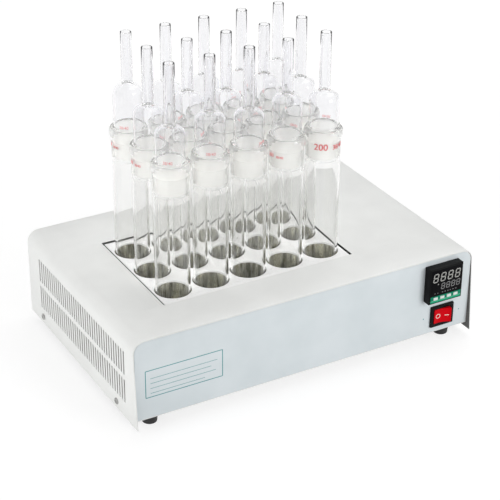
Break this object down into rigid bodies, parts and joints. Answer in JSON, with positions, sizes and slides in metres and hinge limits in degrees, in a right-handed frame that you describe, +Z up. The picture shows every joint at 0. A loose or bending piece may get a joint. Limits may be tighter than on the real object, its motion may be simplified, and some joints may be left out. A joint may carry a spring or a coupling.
{
  "type": "chemical oxygen demand reactor",
  "caption": "Bench heater with a well plate that holds glass digestion tubes, each with a lift-off glass condenser, and front controls for temperature and mains.",
  "frame": {"origin": "middle of the footprint, on the bench under the feet", "axes": "+X to the right as seen from the control panel, +Y to the back, +Z up"},
  "size_m": [0.4644, 0.313, 0.4],
  "materials": {
    "cover_paint": "warm off-white powder coat, very fine texture, semi-matt",
    "tray_paint": "off-white powder coat",
    "panel_sheet": "pale blue-grey printed sheet, satin",
    "foot_rubber": "black moulded rubber",
    "screw_steel": "zinc-plated steel",
    "plate_enamel": "white enamel, semi-gloss",
    "block_aluminium": "machined and oxidised by heat",
    "heater_steel": "steel-cased flat heater",
    "insulation_board": "pressed mineral fibre",
    "probe_steel": "stainless sheath",
    "controller_black": "fine moulded texture",
    "controller_window": "dark glossy sheet with a green band",
    "key_white": "pale grey keys",
    "switch_black": "black moulded plastic",
    "rocker_red": "red rocker, slightly clear",
    "inlet_black": "black moulded plastic",
    "pin_brass": "bright brass",
    "fuse_glass": "clear glass with plated caps",
    "relay_grey": "dark grey moulded plastic",
    "terminal_white": "white moulded plastic",
    "tube_glass": "clear borosilicate with a ground socket",
    "condenser_glass": "clear borosilicate with a ground cone"
  },
  "bodies": {
    "root": {"top_cover": "cover_paint", "chassis_tray": "tray_paint", "front_overlay": "panel_sheet", "rubber_feet": "foot_rubber", "foot_screws": "screw_steel", "cover_screws": "screw_steel", "well_plate": "plate_enamel", "heating_block": "block_aluminium", "heater_plate": "heater_steel", "insulation_base": "insulation_board", "insulation_jacket": "insulation_board", "block_bolts": "screw_steel", "temperature_probe": "probe_steel", "controller_bezel": "controller_black", "controller_window": "controller_window", "controller_case": "controller_black", "controller_clamp": "controller_black", "switch_frame": "switch_black", "power_inlet": "inlet_black", "inlet_pins": "pin_brass", "solid_state_relay": "relay_grey", "terminal_block": "terminal_white"},
    "tube_r1c1": {"tube_r1c1": "tube_glass"},
    "condenser_r1c1": {"condenser_r1c1": "condenser_glass"},
    "tube_r1c2": {"tube_r1c2": "tube_glass"},
    "condenser_r1c2": {"condenser_r1c2": "condenser_glass"},
    "tube_r1c3": {"tube_r1c3": "tube_glass"},
    "condenser_r1c3": {"condenser_r1c3": "condenser_glass"},
    "tube_r1c4": {"tube_r1c4": "tube_glass"},
    "condenser_r1c4": {"condenser_r1c4": "condenser_glass"},
    "tube_r1c5": {"tube_r1c5": "tube_glass"},
    "condenser_r1c5": {"condenser_r1c5": "condenser_glass"},
    "tube_r2c1": {"tube_r2c1": "tube_glass"},
    "condenser_r2c1": {"condenser_r2c1": "condenser_glass"},
    "tube_r2c2": {"tube_r2c2": "tube_glass"},
    "condenser_r2c2": {"condenser_r2c2": "condenser_glass"},
    "tube_r2c3": {"tube_r2c3": "tube_glass"},
    "condenser_r2c3": {"condenser_r2c3": "condenser_glass"},
    "tube_r2c4": {"tube_r2c4": "tube_glass"},
    "condenser_r2c4": {"condenser_r2c4": "condenser_glass"},
    "tube_r2c5": {"tube_r2c5": "tube_glass"},
    "condenser_r2c5": {"condenser_r2c5": "condenser_glass"},
    "tube_r3c1": {"tube_r3c1": "tube_glass"},
    "condenser_r3c1": {"condenser_r3c1": "condenser_glass"},
    "tube_r3c2": {"tube_r3c2": "tube_glass"},
    "condenser_r3c2": {"condenser_r3c2": "condenser_glass"},
    "tube_r3c3": {"tube_r3c3": "tube_glass"},
    "condenser_r3c3": {"condenser_r3c3": "condenser_glass"},
    "tube_r3c4": {"tube_r3c4": "tube_glass"},
    "condenser_r3c4": {"condenser_r3c4": "condenser_glass"},
    "tube_r3c5": {"tube_r3c5": "tube_glass"},
    "condenser_r3c5": {"condenser_r3c5": "condenser_glass"},
    "key_set": {"key_set": "key_white"},
    "key_shift": {"key_shift": "key_white"},
    "key_down": {"key_down": "key_white"},
    "key_up": {"key_up": "key_white"},
    "switch_rocker": {"switch_rocker": "rocker_red"},
    "fuse_drawer": {"fuse_drawer": "inlet_black", "fuse": "fuse_glass"}
  },
  "joints": [
    {"name": "tube_r1c1_lift", "type": "slide", "parent": "root", "child": "tube_r1c1", "axis": [0, 0, 1], "range_m": [0, 0.085]},
    {"name": "condenser_r1c1_lift", "type": "slide", "parent": "tube_r1c1", "child": "condenser_r1c1", "axis": [0, 0, 1], "range_m": [0, 0.06]},
    {"name": "tube_r1c2_lift", "type": "slide", "parent": "root", "child": "tube_r1c2", "axis": [0, 0, 1], "range_m": [0, 0.085]},
    {"name": "condenser_r1c2_lift", "type": "slide", "parent": "tube_r1c2", "child": "condenser_r1c2", "axis": [0, 0, 1], "range_m": [0, 0.06]},
    {"name": "tube_r1c3_lift", "type": "slide", "parent": "root", "child": "tube_r1c3", "axis": [0, 0, 1], "range_m": [0, 0.085]},
    {"name": "condenser_r1c3_lift", "type": "slide", "parent": "tube_r1c3", "child": "condenser_r1c3", "axis": [0, 0, 1], "range_m": [0, 0.06]},
    {"name": "tube_r1c4_lift", "type": "slide", "parent": "root", "child": "tube_r1c4", "axis": [0, 0, 1], "range_m": [0, 0.085]},
    {"name": "condenser_r1c4_lift", "type": "slide", "parent": "tube_r1c4", "child": "condenser_r1c4", "axis": [0, 0, 1], "range_m": [0, 0.06]},
    {"name": "tube_r1c5_lift", "type": "slide", "parent": "root", "child": "tube_r1c5", "axis": [0, 0, 1], "range_m": [0, 0.085]},
    {"name": "condenser_r1c5_lift", "type": "slide", "parent": "tube_r1c5", "child": "condenser_r1c5", "axis": [0, 0, 1], "range_m": [0, 0.06]},
    {"name": "tube_r2c1_lift", "type": "slide", "parent": "root", "child": "tube_r2c1", "axis": [0, 0, 1], "range_m": [0, 0.085]},
    {"name": "condenser_r2c1_lift", "type": "slide", "parent": "tube_r2c1", "child": "condenser_r2c1", "axis": [0, 0, 1], "range_m": [0, 0.06]},
    {"name": "tube_r2c2_lift", "type": "slide", "parent": "root", "child": "tube_r2c2", "axis": [0, 0, 1], "range_m": [0, 0.085]},
    {"name": "condenser_r2c2_lift", "type": "slide", "parent": "tube_r2c2", "child": "condenser_r2c2", "axis": [0, 0, 1], "range_m": [0, 0.06]},
    {"name": "tube_r2c3_lift", "type": "slide", "parent": "root", "child": "tube_r2c3", "axis": [0, 0, 1], "range_m": [0, 0.085]},
    {"name": "condenser_r2c3_lift", "type": "slide", "parent": "tube_r2c3", "child": "condenser_r2c3", "axis": [0, 0, 1], "range_m": [0, 0.06]},
    {"name": "tube_r2c4_lift", "type": "slide", "parent": "root", "child": "tube_r2c4", "axis": [0, 0, 1], "range_m": [0, 0.085]},
    {"name": "condenser_r2c4_lift", "type": "slide", "parent": "tube_r2c4", "child": "condenser_r2c4", "axis": [0, 0, 1], "range_m": [0, 0.06]},
    {"name": "tube_r2c5_lift", "type": "slide", "parent": "root", "child": "tube_r2c5", "axis": [0, 0, 1], "range_m": [0, 0.085]},
    {"name": "condenser_r2c5_lift", "type": "slide", "parent": "tube_r2c5", "child": "condenser_r2c5", "axis": [0, 0, 1], "range_m": [0, 0.06]},
    {"name": "tube_r3c1_lift", "type": "slide", "parent": "root", "child": "tube_r3c1", "axis": [0, 0, 1], "range_m": [0, 0.085]},
    {"name": "condenser_r3c1_lift", "type": "slide", "parent": "tube_r3c1", "child": "condenser_r3c1", "axis": [0, 0, 1], "range_m": [0, 0.06]},
    {"name": "tube_r3c2_lift", "type": "slide", "parent": "root", "child": "tube_r3c2", "axis": [0, 0, 1], "range_m": [0, 0.085]},
    {"name": "condenser_r3c2_lift", "type": "slide", "parent": "tube_r3c2", "child": "condenser_r3c2", "axis": [0, 0, 1], "range_m": [0, 0.06]},
    {"name": "tube_r3c3_lift", "type": "slide", "parent": "root", "child": "tube_r3c3", "axis": [0, 0, 1], "range_m": [0, 0.085]},
    {"name": "condenser_r3c3_lift", "type": "slide", "parent": "tube_r3c3", "child": "condenser_r3c3", "axis": [0, 0, 1], "range_m": [0, 0.06]},
    {"name": "tube_r3c4_lift", "type": "slide", "parent": "root", "child": "tube_r3c4", "axis": [0, 0, 1], "range_m": [0, 0.085]},
    {"name": "condenser_r3c4_lift", "type": "slide", "parent": "tube_r3c4", "child": "condenser_r3c4", "axis": [0, 0, 1], "range_m": [0, 0.06]},
    {"name": "tube_r3c5_lift", "type": "slide", "parent": "root", "child": "tube_r3c5", "axis": [0, 0, 1], "range_m": [0, 0.085]},
    {"name": "condenser_r3c5_lift", "type": "slide", "parent": "tube_r3c5", "child": "condenser_r3c5", "axis": [0, 0, 1], "range_m": [0, 0.06]},
    {"name": "key_set_press", "type": "slide", "parent": "root", "child": "key_set", "axis": [0, 1, 0], "range_m": [0, 0.0005], "stiffness_N_per_m": 800},
    {"name": "key_shift_press", "type": "slide", "parent": "root", "child": "key_shift", "axis": [0, 1, 0], "range_m": [0, 0.0005], "stiffness_N_per_m": 800},
    {"name": "key_down_press", "type": "slide", "parent": "root", "child": "key_down", "axis": [0, 1, 0], "range_m": [0, 0.0005], "stiffness_N_per_m": 800},
    {"name": "key_up_press", "type": "slide", "parent": "root", "child": "key_up", "axis": [0, 1, 0], "range_m": [0, 0.0005], "stiffness_N_per_m": 800},
    {"name": "switch_rock", "type": "hinge", "parent": "root", "child": "switch_rocker", "pos_m": [0.189, -0.1468, 0.038], "axis": [0, 0, 1], "range_deg": [0, 22]},
    {"name": "fuse_drawer_pull", "type": "slide", "parent": "root", "child": "fuse_drawer", "axis": [0, 1, 0], "range_m": [0, 0.022]}
  ]
}
